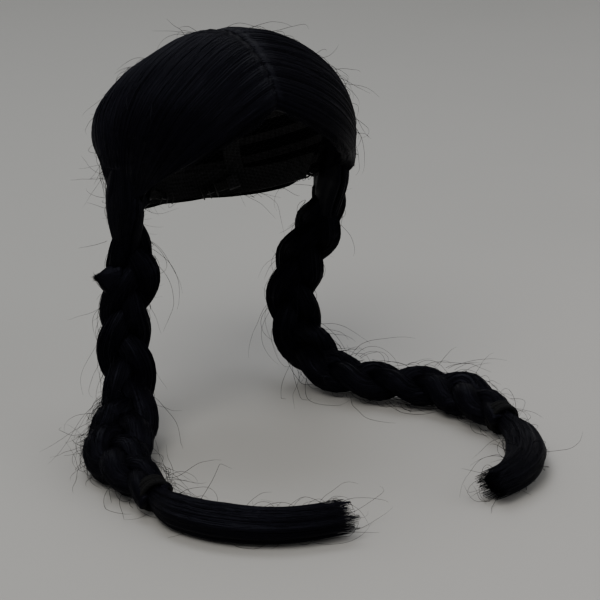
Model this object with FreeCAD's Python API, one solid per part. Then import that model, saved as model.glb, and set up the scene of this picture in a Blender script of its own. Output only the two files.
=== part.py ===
"""A costume wig with a centre part and two long plaits, modelled as it sits on a head.

The row frame is in millimetres. The origin is the middle of the head cavity, +Z is up and the
face looks towards -Y, so the wearer's left is +X. The wig is a domed cap of hair over a light
elastic cap. Each side's hair is combed to a gather at the ear, and a plait hangs from it, turns
on to the table that the head stands on, and ends in an elastic tie and a loose tail.

Layers of the dome, from the outside in: hair, wefts, bands and straps, net, head.
"""

import FreeCAD
import Part
import math
import os

from FreeCAD import Matrix, Rotation, Vector

# ---- driving dimensions -------------------------------------------------------------------

# The outer surface of the hair on the crown: an ellipsoid whose long axis slopes down to the
# nape. It fits a small adult head of about 530 mm round.
DOME_HALF_WIDTH = 86.8
DOME_HALF_LENGTH = 102.0
DOME_HALF_HEIGHT = 75.5
DOME_TILT_DEG = -24.6

# How deep each layer starts and ends under that surface.
HAIR = (0.0, 8.6)
WEFT = (8.9, 10.0)
BAND = (10.2, 11.2)
NET = (11.4, 12.2)
HEAD_DEPTH = 12.4

# The table that the head stands on.
TABLE_Z = -184.7

# The front hairline on the wearer's left, seen from the front: (x, z) from the peak to the ear.
HAIRLINE = [(0, 46.5), (13, 41), (25, 34.5), (40, 24.5), (53, 13.5), (65, 3), (75, -7), (79, -12)]
# The lower edge behind the ears, seen from the side: (y, z) from the ear to the nape.
NAPE_LINE = [(-40, -28), (0, -36), (30, -48), (60, -60), (80, -64), (130, -66)]
CAP_INSET = 6.0
BAND_WIDTH = 18.0
# How far ahead of the gather's middle the face opening ends.
ARCH_AHEAD_OF_GATHER = 2.0
FAR = 160.0

# The fan of locks that each side's hair is combed into, as angles about the gather. 0 is
# straight back, 90 is up and 180 is towards the face.
LOCKS = [
    ("nape", -70.0, 6.0),
    ("back", 6.0, 42.0),
    ("crown", 42.0, 78.0),
    ("top", 78.0, 114.0),
    ("fringe", 114.0, 205.0),
]
FAN_HEIGHT = -30.0
LOCK_GAP_DEG = 0.12
PART_GAP = 0.15
GATHER_ROOM = 0.3

# The plaits and the loose tails.
PLAIT_DIAMETER = 36.0
PLAIT_RADIUS = PLAIT_DIAMETER / 2
TAIL_DIAMETER = 24.0
TAIL_RADIUS = TAIL_DIAMETER / 2
NECK_RADIUS = 9.5
TAPER_LENGTH = 12.0
NECK_LENGTH = 9.0
TIE_WIRE_RADIUS = 1.8
TIE_WRAPS = 3
TIE_WRAP_OVERLAP = 0.1
TIE_FIT_GAP = 0.1
PIVOT_PAST_TIE = 8.0
LIE = TABLE_Z + PLAIT_RADIUS
TAIL_LIE = TABLE_Z + TAIL_RADIUS

# Each plait's route, from the gather at the ear to the tie, and each tail's, chosen by hand.
RIGHT_PLAIT = [
    (-79, -22, -46), (-78, -22, -75), (-81.5, -20.5, -103), (-84, -21, -124),
    (-86, -30, -144), (-90, -47, -158), (-97, -68, -165), (-107, -90, LIE),
    (-116, -112, LIE), (-120.5, -131, LIE), (-121, -148, LIE),
]
RIGHT_TAIL = [
    (-115, -189), (-104, -204), (-91, -217), (-77, -227), (-61, -233), (-44, -234), (-28, -230),
]
LEFT_PLAIT = [
    (79, 2, -46), (77, 10, -68), (73, 19, -88), (70, 26, -108), (69, 25, -131),
    (69, 16, -149), (70, 0, -161), (72, -20, LIE), (76, -40, LIE), (85, -57, LIE),
    (97, -71, LIE), (108, -85, LIE), (118, -101, LIE), (126, -118, LIE), (131, -133, LIE),
]
LEFT_TAIL = [
    (139, -174), (133, -190), (123, -205), (110, -217), (96, -225), (82, -229),
]
# The run of each plait's route in which it bends on to the table.
BEND_RUN = {"right": 4, "left": 5}

# How far a plait swings forwards, bends, and its tail turns, in degrees, and the room left round
# what turns.
SWING_RANGE = (-30, 0)
BEND_RANGE = (-70, 30)
TAIL_RANGE = (-30, 30)
CLEARANCE = 0.5
SWEEP_STEP_DEG = 10
ROOM_LENGTH = 45.0

# The nape adjusters. Lengths along a strap are counted from the middle of its sleeve and loops.
ADJUSTER_X = 27.0
ADJUSTER_Z = -50.0
ADJUSTER_LIFT = 2.8
NAPE_CURVE_RADIUS = 62.0
STRAP_SIZE = (19.0, 7.0, 0.9)
STRAP_MIDDLE = -3.5
SLEEVE_SIZE = (8.0, 10.0, 2.4)
SLEEVE_MIDDLE = -8.0
SLEEVE_CLEARANCE = 0.35
HOOK_SIZE = (6.0, 5.0, 0.9)
HOOK_MIDDLE = 9.0
BARB_SIZE = (1.0, 5.0, 0.7)
LOOP_PLACES = [5.0, 10.0, 15.0]
LOOP_WIRE_RADIUS = 0.5
LOOP_HALF_SPAN = 5.4
LOOP_TOP = 2.6
LOOP_FOOT_GAP = 0.6
STRAP_EDGE_RADIUS = 0.3
BARB_SINKS = 0.1

ORIGIN = Vector(0, 0, 0)
X_AXIS = Vector(1, 0, 0)
Z_AXIS = Vector(0, 0, 1)
SIDES = {"right": -1, "left": 1}
PLAITS = {"right": RIGHT_PLAIT, "left": LEFT_PLAIT}
TAILS = {"right": RIGHT_TAIL, "left": LEFT_TAIL}

os.makedirs("parts", exist_ok=True)
parts = {}


def keep(name, shape):
    """Saves one sub-part and says how big it is."""
    solids = shape.Solids
    solid = solids[0] if len(solids) == 1 else Part.makeCompound(solids)
    solid.exportStep(f"parts/{name}.step")
    parts[name] = solid
    state = "ok" if solid.isValid() else "NOT VALID"
    print(f"{name:24s} {len(solids)} solid(s) {solid.Volume:10.1f} mm3 {state}")


# ---- the dome -----------------------------------------------------------------------------


def dome(depth):
    """The solid ellipsoid this far under the hair's outer surface."""
    stretch = Matrix()
    stretch.scale(DOME_HALF_WIDTH - depth, DOME_HALF_LENGTH - depth, DOME_HALF_HEIGHT - depth)
    egg = Part.makeSphere(1.0).transformGeometry(stretch)
    egg.rotate(ORIGIN, X_AXIS, DOME_TILT_DEG)
    return egg


def prism(outline, reach):
    """A closed outline pushed along a vector."""
    return Part.Face(Part.Wire(outline)).extrude(reach)


def polygon(points):
    return Part.makePolygon([*points, points[0]]).Edges


def smooth_outline(points, corners):
    """A curve through some points, closed by straight edges over some corners."""
    curve = Part.BSplineCurve()
    curve.interpolate(points)
    chain = [points[-1], *corners, points[0]]
    return [curve.toShape(), *[Part.makeLine(a, b) for a, b in zip(chain, chain[1:])]]


def opening(margin):
    """What is cut away for the face and the neck. A margin moves the edge up into the hair."""
    cutters = []
    for side, sign in SIDES.items():
        points = [Vector(sign * x, -FAR, z + margin) for x, z in HAIRLINE]
        out = sign * FAR
        corners = [
            Vector(out, -FAR, points[-1].z),
            Vector(out, -FAR, -FAR),
            Vector(0, -FAR, -FAR),
        ]
        back = PLAITS[side][0][1] - ARCH_AHEAD_OF_GATHER
        arch = prism(smooth_outline(points, corners), Vector(0, FAR + back, 0))
        cutters.append(arch)
    line = [Vector(-FAR, y, z + margin) for y, z in NAPE_LINE]
    floor = [Vector(-FAR, line[-1].y, -FAR), Vector(-FAR, line[0].y, -FAR)]
    cutters.append(prism(smooth_outline(line, floor), Vector(2 * FAR, 0, 0)))
    return cutters[0].fuse(cutters[1:])


HAIR_EDGE = opening(0.0)
CAP_EDGE = opening(CAP_INSET)
BAND_EDGE = opening(CAP_INSET + BAND_WIDTH)


def layer(depths, edge):
    """One layer of the dome with the face and neck cut away."""
    outer, inner = depths
    return dome(outer).cut(edge).cut(dome(inner))


def everywhere(x=(-FAR, FAR), y=(-FAR, FAR), z=(-FAR, FAR)):
    """A box that is limited only in the directions that are named, by (low, high) pairs."""
    return Part.makeBox(x[1] - x[0], y[1] - y[0], z[1] - z[0], Vector(x[0], y[0], z[0]))


def biggest(shape):
    """The largest solid of a shape, without the crumbs that a cut can leave."""
    return max(shape.Solids, key=lambda solid: solid.Volume)


# ---- the gather of hair at each ear -------------------------------------------------------

# Height, how far out from the middle, and the half width and half length of each section. The
# lowest is just above the ball that the plait swings on.
GATHER_SECTIONS = [(0, 81.0, 4.5, 12), (-14, 81.8, 6.6, 18), (-27.4, 81.0, 10, 18)]


def gather(side, grow=0.0):
    """The tapering mass of hair between the dome and the head of the plait."""
    sign = SIDES[side]
    middle = PLAITS[side][0][1]
    rings = []
    for z, out, half_width, half_length in GATHER_SECTIONS:
        ring = Part.Ellipse(ORIGIN, half_length + grow, half_width + grow)
        edge = ring.toShape()
        edge.rotate(ORIGIN, Z_AXIS, 90)
        edge.translate(Vector(sign * out, middle, z))
        rings.append(Part.Wire(edge))
    return Part.makeLoft(rings, True, False)


# ---- plaits and tails: straight runs joined by tangent arcs ---------------------------------


def route_edges(points):
    """Runs and arcs in turn, with the radius of each arc."""
    edges, radii = [], []
    start = points[0]
    for before, corner, after in zip(points, points[1:], points[2:]):
        run_in, run_out = corner - before, after - corner
        back = 0.45 * min(run_in.Length, run_out.Length)
        turn = run_in.getAngle(run_out)
        radius = back / math.tan(turn / 2)
        enter = corner - run_in.normalize() * back
        leave = corner + run_out.normalize() * back
        towards = (enter + leave) * 0.5 - corner
        to_centre = radius / math.cos(turn / 2)
        middle = corner + towards.normalize() * (to_centre - radius)
        edges.append(Part.LineSegment(start, enter).toShape())
        edges.append(Part.Arc(enter, middle, leave).toShape())
        radii.append(radius)
        start = leave
    edges.append(Part.LineSegment(start, points[-1]).toShape())
    return edges, radii


def tube(edges, radius):
    """A round tube along a chain of edges."""
    start = edges[0].Vertexes[0].Point
    direction = edges[0].tangentAt(edges[0].FirstParameter)
    ring = Part.Wire(Part.makeCircle(radius, start, direction))
    return Part.Wire(edges).makePipeShell([ring], True, False)


def vectors(points):
    return [Vector(*p) for p in points]


def split_route(side):
    """The plait's edges above and below its bend, and the point and direction of the bend."""
    edges, radii = route_edges(vectors(PLAITS[side]))
    run = BEND_RUN[side]
    a, b = [vertex.Point for vertex in edges[2 * run].Vertexes]
    pivot = (a + b) * 0.5
    upper = [*edges[: 2 * run], Part.LineSegment(a, pivot).toShape()]
    lower = [Part.LineSegment(pivot, b).toShape(), *edges[2 * run + 1 :]]
    length = sum(edge.Length for edge in edges)
    print(f"{side} plait: length {length:.1f}, radii {[round(r) for r in radii]}")
    return upper, lower, pivot, (b - a).normalize()


def end_of(points):
    """A route's last point and its direction there."""
    return points[-1], (points[-1] - points[-2]).normalize()


def lying_plait(side, lower, pivot):
    """The lying half of the plait: a ball at the bend, a tube, a taper and a neck."""
    end, along = end_of(vectors(PLAITS[side]))
    ball = Part.makeSphere(PLAIT_RADIUS, pivot)
    taper = Part.makeCone(PLAIT_RADIUS, NECK_RADIUS, TAPER_LENGTH, end, along)
    neck = Part.makeCylinder(NECK_RADIUS, NECK_LENGTH, end + along * TAPER_LENGTH, along)
    return tube(lower, PLAIT_RADIUS).fuse([ball, taper, neck])


def tail(side):
    """The loose hair past the tie: a ball, then a tube that ends blunt."""
    end, along = end_of(vectors(PLAITS[side]))
    pivot = end + along * (TAPER_LENGTH + NECK_LENGTH / 2 + PIVOT_PAST_TIE)
    pivot.z = TAIL_LIE
    points = [pivot, *[Vector(x, y, TAIL_LIE) for x, y in TAILS[side]]]
    edges, radii = route_edges(points)
    length = sum(edge.Length for edge in edges)
    print(f"{side} tail: length {length:.1f}, radii {[round(r) for r in radii]}")
    ball = Part.makeSphere(TAIL_RADIUS, pivot)
    return tube(edges, TAIL_RADIUS).fuse(ball), pivot, (points[1] - pivot).normalize()


def turning_room(pivot, direction, radius, axis, limits):
    """The room that a round piece with a ball end needs to turn through its whole travel."""
    first, last = limits
    wide = radius + CLEARANCE
    room = [Part.makeSphere(wide, pivot)]
    for angle in range(first, last + 1, SWEEP_STEP_DEG):
        turned = Part.makeCylinder(wide, ROOM_LENGTH, pivot, direction)
        turned.rotate(pivot, axis, angle)
        room.append(turned)
    return room


def rising_axis(direction):
    """The level axis about which a positive turn lifts what points this way."""
    flat = Vector(direction.x, direction.y, 0).normalize()
    return flat.cross(Z_AXIS)


def tie(side):
    """The hair elastic: a few wraps of thin cord round the neck of the plait."""
    end, along = end_of(vectors(PLAITS[side]))
    middle = end + along * (TAPER_LENGTH + NECK_LENGTH / 2)
    pitch = 2 * TIE_WIRE_RADIUS * (1 - TIE_WRAP_OVERLAP)
    ring_radius = NECK_RADIUS + TIE_FIT_GAP + TIE_WIRE_RADIUS
    wraps = []
    for k in range(TIE_WRAPS):
        at = middle + along * ((k - (TIE_WRAPS - 1) / 2) * pitch)
        wraps.append(Part.makeTorus(ring_radius, TIE_WIRE_RADIUS, at, along))
    return wraps[0].fuse(wraps[1:])


def plait_and_tail(side):
    """One side's plait, tie and tail, and its gather, with room for every joint."""
    upper, lower, bend, direction = split_route(side)
    top = vectors(PLAITS[side])[0]
    bend_axis = rising_axis(direction)
    loose, tail_pivot, tail_direction = tail(side)
    bend_room = turning_room(bend, direction, PLAIT_RADIUS, bend_axis, BEND_RANGE)
    tail_room = turning_room(tail_pivot, tail_direction, TAIL_RADIUS, Z_AXIS, TAIL_RANGE)

    hanging = tube(upper, PLAIT_RADIUS).fuse(Part.makeSphere(PLAIT_RADIUS, top))
    keep(f"{side}_gather", gather(side))
    keep(f"{side}_plait_hanging", biggest(hanging.cut(bend_room)))
    keep(f"{side}_plait_lying", biggest(lying_plait(side, lower, bend).cut(tail_room)))
    keep(f"{side}_hair_tie", biggest(tie(side).cut(tail_room)))
    keep(f"{side}_tail", biggest(loose))
    print(f"  swing at {top}")
    print(f"  bend at {bend} about {bend_axis}")
    print(f"  tail at {tail_pivot}")


# ---- hair on the dome ---------------------------------------------------------------------


def fan(side, low, high):
    """A wedge of one side of space, seen from the side, with its edge at the gather."""
    sign = SIDES[side]
    at = Vector(sign * PART_GAP, PLAITS[side][0][1], FAN_HEIGHT)
    angles = [low + LOCK_GAP_DEG, (2 * low + high) / 3, (low + 2 * high) / 3, high - LOCK_GAP_DEG]
    rays = [Vector(0, math.cos(math.radians(a)), math.sin(math.radians(a))) for a in angles]
    corners = [at, *[at + ray * 2 * FAR for ray in rays]]
    return prism(polygon(corners), Vector(sign * FAR, 0, 0))


def room_at_ear(side):
    """What the dome leaves free: the gather, and the head of the plait through its swing."""
    top, below = vectors(PLAITS[side])[:2]
    direction = (below - top).normalize()
    return [
        gather(side, GATHER_ROOM),
        *turning_room(top, direction, PLAIT_RADIUS, X_AXIS, SWING_RANGE),
    ]


ROOM_AT_EAR = {side: room_at_ear(side) for side in SIDES}


def hair():
    """The locks of the dome, each one combed from the centre part to the gather."""
    mass = layer(HAIR, HAIR_EDGE)
    for side in SIDES:
        for name, low, high in LOCKS:
            lock = mass.common(fan(side, low, high)).cut(ROOM_AT_EAR[side])
            keep(f"{side}_hair_{name}", biggest(lock))


# ---- the cap that the hair is sewn to -------------------------------------------------------

STRAP_HALF_WIDTH = 5.0
SIDE_STRAP_X = 38.0
TAB_HALF_LENGTH = 13.0
JOIN_GAP = 0.2
WEFT_HEIGHT = 5.0
WEFT_LEVELS = [-30.0, -17.0, -4.0, 9.0, 22.0, 35.0, 48.0]
PART_STRIP_HALF_WIDTH = 5.0
PART_STRIP_BACK = 30.0


def cap_bands():
    """The elastic band along the edge, in four pieces, and the straps over the crown."""
    keep("cap_net", biggest(layer(NET, CAP_EDGE)))
    sheet = layer(BAND, CAP_EDGE)
    over = sheet.cut(BAND_EDGE)
    rim = sheet.common(BAND_EDGE)
    front = -TAB_HALF_LENGTH - JOIN_GAP
    behind = TAB_HALF_LENGTH + JOIN_GAP
    keep("front_band", biggest(rim.common(everywhere(y=(-FAR, front)))))
    keep("nape_band", biggest(rim.common(everywhere(y=(behind, FAR)))))
    for side, sign in SIDES.items():
        half = sorted([0, sign * FAR])
        tab = rim.common(everywhere(x=half, y=(-TAB_HALF_LENGTH, TAB_HALF_LENGTH)))
        keep(f"{side}_ear_tab", biggest(tab))
        strap = sorted([sign * (SIDE_STRAP_X - STRAP_HALF_WIDTH), sign * (SIDE_STRAP_X + STRAP_HALF_WIDTH)])
        keep(f"{side}_crown_strap", biggest(over.common(everywhere(x=strap))))
    middle = (-STRAP_HALF_WIDTH, STRAP_HALF_WIDTH)
    keep("centre_crown_strap", biggest(over.common(everywhere(x=middle))))


def wefts():
    """Rows of machine-sewn weft from temple to temple, and the strip under the centre part."""
    sheet = layer(WEFT, CAP_EDGE)
    strip = everywhere(x=(-PART_STRIP_HALF_WIDTH, PART_STRIP_HALF_WIDTH), y=(-FAR, PART_STRIP_BACK))
    strip = strip.common(everywhere(z=(0, FAR)))
    keep("parting_strip", biggest(sheet.common(strip)))
    room = everywhere(
        x=(-PART_STRIP_HALF_WIDTH - JOIN_GAP, PART_STRIP_HALF_WIDTH + JOIN_GAP),
        y=(-FAR, PART_STRIP_BACK + JOIN_GAP),
    )
    ends = [*ROOM_AT_EAR["right"], *ROOM_AT_EAR["left"]]
    for row, level in enumerate(WEFT_LEVELS, 1):
        slab = everywhere(z=(level, level + WEFT_HEIGHT))
        slab.rotate(ORIGIN, X_AXIS, DOME_TILT_DEG)
        keep(f"weft_row_{row}", sheet.common(slab).cut([room, *ends]))


# ---- the nape adjusters -----------------------------------------------------------------------


def inner_point(x, z, depth):
    """The point at the back of a layer's inner surface with this x and z, and its normal."""
    sizes = [DOME_HALF_WIDTH - depth, DOME_HALF_LENGTH - depth, DOME_HALF_HEIGHT - depth]
    turn = Rotation(X_AXIS, DOME_TILT_DEG)
    low, high = 0.0, FAR
    for _ in range(40):
        y = (low + high) / 2
        local = turn.inverted().multVec(Vector(x, y, z))
        inside = sum((c / s) ** 2 for c, s in zip(local, sizes)) < 1
        low, high = (y, high) if inside else (low, y)
    normal = turn.multVec(Vector(*[c / s**2 for c, s in zip(local, sizes)]))
    return Vector(x, low, z), normal.normalize()


def seat(shape, place, along, normal):
    """Puts a shape made at the origin, with X along and Z inwards, in its place on the cap."""
    across = normal.cross(along)
    shape.Placement = FreeCAD.Placement(place, Rotation(along, across, normal, "ZXY"))
    return shape


def centred_box(size, x=0.0, z=0.0):
    """A box of this size about a point of the strap's middle plane."""
    length, width, thick = size
    return Part.makeBox(length, width, thick, Vector(x - length / 2, -width / 2, z - thick / 2))


def staple(at):
    """One loop of sewn cord that stands across the strap's path, on the curve of the nape."""
    foot = LOOP_FOOT_GAP - ADJUSTER_LIFT + at**2 / (2 * NAPE_CURVE_RADIUS)
    start, end = Vector(at, -LOOP_HALF_SPAN, foot), Vector(at, LOOP_HALF_SPAN, foot)
    arch = Part.Arc(start, Vector(at, 0, LOOP_TOP), end).toShape()
    ring = Part.Wire(Part.makeCircle(LOOP_WIRE_RADIUS, start, arch.tangentAt(arch.FirstParameter)))
    return Part.Wire(arch).makePipeShell([ring], True, False)


def adjusters():
    """An elastic strap with a hook, a sewn sleeve that it runs in, and loops for the hook."""
    length, width, thick = STRAP_SIZE
    strap = centred_box(STRAP_SIZE, STRAP_MIDDLE)
    strap = strap.makeFillet(STRAP_EDGE_RADIUS, [e for e in strap.Edges if abs(e.Length - length) < 1e-6])
    slot_size = (2 * SLEEVE_SIZE[0], width + 2 * SLEEVE_CLEARANCE, thick + 2 * SLEEVE_CLEARANCE)
    slot = centred_box(slot_size, SLEEVE_MIDDLE)
    sleeve = centred_box(SLEEVE_SIZE, SLEEVE_MIDDLE).cut(slot)
    barb_x = HOOK_MIDDLE + (HOOK_SIZE[0] - BARB_SIZE[0]) / 2
    barb_z = (HOOK_SIZE[2] + BARB_SIZE[2]) / 2 - BARB_SINKS
    hook = centred_box(HOOK_SIZE, HOOK_MIDDLE).fuse(centred_box(BARB_SIZE, barb_x, barb_z))
    loops = Part.makeCompound([staple(at) for at in LOOP_PLACES])
    pieces = {"strap": strap, "sleeve": sleeve, "hook": hook, "loops": loops}
    for side, sign in SIDES.items():
        base, outward = inner_point(sign * ADJUSTER_X, ADJUSTER_Z, HEAD_DEPTH)
        inward = outward * -1
        along = Vector(-sign, 0, 0)
        along = (along - inward * along.dot(inward)).normalize()
        place = base + inward * ADJUSTER_LIFT
        for name, shape in pieces.items():
            keep(f"{side}_adjuster_{name}", seat(shape.copy(), place, along, inward))
        print(f"  slide along {along} at {place}")


def main():
    hair()
    cap_bands()
    wefts()
    adjusters()
    for side in SIDES:
        plait_and_tail(side)
    whole = Part.makeCompound(list(parts.values())).BoundBox
    print(f"{len(parts)} sub-parts, {whole.XLength:.1f} x {whole.YLength:.1f} x {whole.ZLength:.1f} mm")
    print(f"lowest point {whole.ZMin:.2f}")


main()
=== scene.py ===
# %% [markdown]
# # A costume wig with two long plaits
# The wig is a domed cap of straight black hair with a centre part. Each side is combed to a gather
# at the ear, and a three-strand plait hangs from it, turns on to the table and ends in an elastic
# tie and a loose tail. The engineering model holds the sizes and the joints. Here every soft solid
# gets its looks: locks, strands, crossings, fuzz, net and thread.

import math
import random

import bmesh
import bpy
from mathutils import Matrix, Vector, noise


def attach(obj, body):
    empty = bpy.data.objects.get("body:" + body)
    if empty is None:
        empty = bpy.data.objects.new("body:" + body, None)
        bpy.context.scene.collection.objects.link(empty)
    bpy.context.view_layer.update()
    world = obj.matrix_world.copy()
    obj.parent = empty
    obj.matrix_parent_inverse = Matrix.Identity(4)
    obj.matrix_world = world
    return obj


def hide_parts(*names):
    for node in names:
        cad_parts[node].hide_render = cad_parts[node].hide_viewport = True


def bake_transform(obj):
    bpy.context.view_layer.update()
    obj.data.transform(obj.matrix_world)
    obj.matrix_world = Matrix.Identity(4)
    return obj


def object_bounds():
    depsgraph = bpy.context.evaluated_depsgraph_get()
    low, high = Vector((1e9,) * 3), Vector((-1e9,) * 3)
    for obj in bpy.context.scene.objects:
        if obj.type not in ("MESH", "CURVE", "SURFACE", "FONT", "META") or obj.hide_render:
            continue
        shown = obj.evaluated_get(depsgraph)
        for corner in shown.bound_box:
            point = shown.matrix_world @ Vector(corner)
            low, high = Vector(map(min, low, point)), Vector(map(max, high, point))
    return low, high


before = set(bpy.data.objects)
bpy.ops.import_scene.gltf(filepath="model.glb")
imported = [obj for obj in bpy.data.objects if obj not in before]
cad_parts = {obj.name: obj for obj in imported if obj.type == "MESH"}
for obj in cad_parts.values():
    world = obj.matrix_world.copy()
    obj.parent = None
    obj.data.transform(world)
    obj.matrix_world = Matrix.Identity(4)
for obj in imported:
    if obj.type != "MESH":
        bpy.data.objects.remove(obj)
cad_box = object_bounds()
chance = random.Random(11)
# Without a seed, the direction noise that curls the stray hairs would follow the clock.
noise.seed_set(11)
FULL_TURN = 2 * math.pi
SIDES = {"right": -1, "left": 1}
# The height of the table under the plaits, in metres. Every length here is in metres.
TABLE = -0.1847

# %% [markdown]
# ## The camera
# A longer lens from a few steps away keeps the shape of the head. The camera stands a little to the
# wearer's right and looks down by about nineteen degrees.

# %% Camera
CAMERA_PLACE = Vector((-0.6045, -1.4053, 0.4062))
CAMERA_AIM = Vector((0.0468, -0.0211, -0.1100))
LENS = 141.71
SENSOR_WIDTH = 36.0


def turned_to(place, target):
    """The turn of a camera or a lamp at a place that looks at a target."""
    return (target - place).to_track_quat("-Z", "Y").to_euler()


camera_data = bpy.data.cameras.new("camera")
camera_data.sensor_width = SENSOR_WIDTH
camera_data.lens = LENS
camera = bpy.data.objects.new("camera", camera_data)
camera.location = CAMERA_PLACE
camera.rotation_euler = turned_to(CAMERA_PLACE, CAMERA_AIM)
bpy.context.scene.collection.objects.link(camera)
bpy.context.scene.camera = camera
print(f"camera: {LENS} mm, {(CAMERA_AIM - CAMERA_PLACE).length:.2f} m away")

# %% [markdown]
# ## Smooth lines
# A plait follows a route: a few listed points, with a smooth NURBS line through them. The
# curve object works the line out, and its points are read back from a mesh and spaced evenly, so
# that whatever follows the line can count its steps as lengths.


# %% Lines
def evenly(line, step):
    """The same line with points about one step apart."""
    lengths = [0.0]
    for a, b in zip(line, line[1:]):
        lengths.append(lengths[-1] + (b - a).length)
    count = max(2, round(lengths[-1] / step))
    spaced, k = [], 0
    for i in range(count + 1):
        want = lengths[-1] * i / count
        while k < len(line) - 2 and lengths[k + 1] < want:
            k += 1
        share = (want - lengths[k]) / max(lengths[k + 1] - lengths[k], 1e-9)
        spaced.append(line[k].lerp(line[k + 1], min(1.0, max(0.0, share))))
    return spaced


def new_curve(name, thickness=0.0):
    """An empty curve, with a round bevel and closed ends if it has a thickness."""
    curve = bpy.data.curves.new(name, "CURVE")
    curve.dimensions = "3D"
    curve.bevel_depth = thickness
    curve.use_fill_caps = thickness > 0
    return curve


def add_smooth_spline(curve, places):
    """A NURBS spline that the places control, from the first to the last."""
    spline = curve.splines.new("NURBS")
    spline.points.add(len(places) - 1)
    for knot, place in zip(spline.points, places):
        knot.co = (*place, 1.0)
    spline.order_u = 3
    spline.use_endpoint_u = True


def mesh_of(curve):
    """Turns a curve into a mesh of the same name, and clears the curve away."""
    holder = bpy.data.objects.new(curve.name, curve)
    mesh = bpy.data.meshes.new_from_object(holder)
    mesh.name = curve.name
    bpy.data.objects.remove(holder)
    bpy.data.curves.remove(curve)
    return mesh


def smooth_line(route, step):
    """Points along the NURBS line that a route's points control."""
    curve = new_curve("route")
    curve.resolution_u = 16
    add_smooth_spline(curve, route)
    mesh = mesh_of(curve)
    line = [vertex.co.copy() for vertex in mesh.vertices]
    bpy.data.meshes.remove(mesh)
    return evenly(line, step)


def length_of(line):
    """The length of a line of points."""
    return sum((b - a).length for a, b in zip(line, line[1:]))


def between(table, at):
    """Reads a value from a short list of (place, value) pairs, straight between them."""
    for (a, low), (b, high) in zip(table, table[1:]):
        if at <= b:
            return low + (high - low) * max(0.0, (at - a) / (b - a))
    return table[-1][1]


def ease(x):
    """A smooth step from 0 to 1."""
    x = min(1.0, max(0.0, x))
    return x * x * (3 - 2 * x)


# %% [markdown]
# ## The routes of the plaits and tails
# The routes are the engineering model's, in metres, with a few points moved by a centimetre or two
# so that the plaits lie as real ones do. Each plait's line starts a little inside its gather and
# runs on through the tie, and it lies lower than the tube's middle, because a plait is flatter than
# it is wide.

# %% Routes
PLAIT_LIES = -0.1697
TAIL_LIES = -0.1729
PLAIT_ROUTES = {
    "right": [
        (-0.079, -0.022, -0.040), (-0.0775, -0.022, -0.054), (-0.0735, -0.022, -0.067),
        (-0.0765, -0.022, -0.084), (-0.0825, -0.0205, -0.103), (-0.0820, -0.021, -0.124),
        (-0.0835, -0.031, -0.144), (-0.0895, -0.048, -0.159), (-0.1035, -0.069, -0.168),
        (-0.116, -0.088, PLAIT_LIES), (-0.1190, -0.110, PLAIT_LIES),
        (-0.1175, -0.128, PLAIT_LIES), (-0.1165, -0.144, PLAIT_LIES), (-0.116, -0.162, -0.1715),
    ],
    "left": [
        (0.079, 0.002, -0.040), (0.079, 0.004, -0.052), (0.077, 0.010, -0.068),
        (0.070, 0.019, -0.088), (0.0645, 0.026, -0.108), (0.0625, 0.027, -0.131),
        (0.0645, 0.021, -0.149), (0.0695, 0.008, -0.163), (0.0755, -0.010, PLAIT_LIES),
        (0.083, -0.026, PLAIT_LIES), (0.093, -0.040, PLAIT_LIES), (0.1065, -0.051, PLAIT_LIES),
        (0.119, -0.0625, PLAIT_LIES), (0.1315, -0.0755, PLAIT_LIES), (0.139, -0.094, PLAIT_LIES),
        (0.140, -0.115, PLAIT_LIES), (0.141, -0.1425, -0.1715),
    ],
}
TAIL_ROUTES = {
    "right": [
        (-0.1162, -0.153, -0.1705), (-0.1155, -0.165, TAIL_LIES), (-0.1115, -0.183, TAIL_LIES),
        (-0.102, -0.1985, TAIL_LIES), (-0.089, -0.2125, TAIL_LIES), (-0.075, -0.223, TAIL_LIES),
        (-0.059, -0.230, TAIL_LIES), (-0.041, -0.233, TAIL_LIES), (-0.0165, -0.2335, TAIL_LIES),
    ],
    "left": [
        (0.1405, -0.133, -0.1705), (0.1412, -0.147, TAIL_LIES), (0.1398, -0.163, TAIL_LIES),
        (0.1333, -0.181, TAIL_LIES), (0.1240, -0.199, TAIL_LIES), (0.1095, -0.215, TAIL_LIES),
        (0.092, -0.2255, TAIL_LIES), (0.075, -0.231, TAIL_LIES),
    ],
}
STEP = 0.002
plait_lines = {side: smooth_line(route, STEP) for side, route in PLAIT_ROUTES.items()}
tail_lines = {side: smooth_line(route, STEP) for side, route in TAIL_ROUTES.items()}
for side in SIDES:
    print(f"{side}: plait {length_of(plait_lines[side]):.4f}, tail {length_of(tail_lines[side]):.4f}")

# %% [markdown]
# ## A sense of direction along a plait
# A plait has a flat face. On the hanging part the face looks forwards, and once it lies on the
# table the face looks up. At each point the direction of travel, the way the face looks and the
# way across are kept together, so that strands and hairs can be placed by two small distances.

# %% Frames along a line
FORWARDS = Vector((-0.38, -0.925, 0.0))
UP = Vector((0.0, 0.0, 1.0))


def frames_along(line):
    """For each point: its place, the way ahead, the way the face looks, and the way across."""
    frames = []
    for i, place in enumerate(line):
        ahead = (line[min(i + 1, len(line) - 1)] - line[max(i - 1, 0)]).normalized()
        face = FORWARDS.lerp(UP, ease(1 - abs(ahead.z)))
        face = (face - ahead * face.dot(ahead)).normalized()
        frames.append((place, ahead, face, ahead.cross(face)))
    return frames


# %% [markdown]
# ## Two ways to make hair
# A mass of hair is a skin over a row of oval rings: one ring is made, extruded again and again, and
# each new ring is moved and grooved. Its grooves read as tresses. Single hairs are curve splines
# with a small bevel, all in one object, turned into a mesh at the end. Both keep faces few, because
# there are thousands of hairs.


# %% Lofts and hairs
SETTLE_GAP = 0.0002
HAIR_TAPER = 0.7


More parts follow.
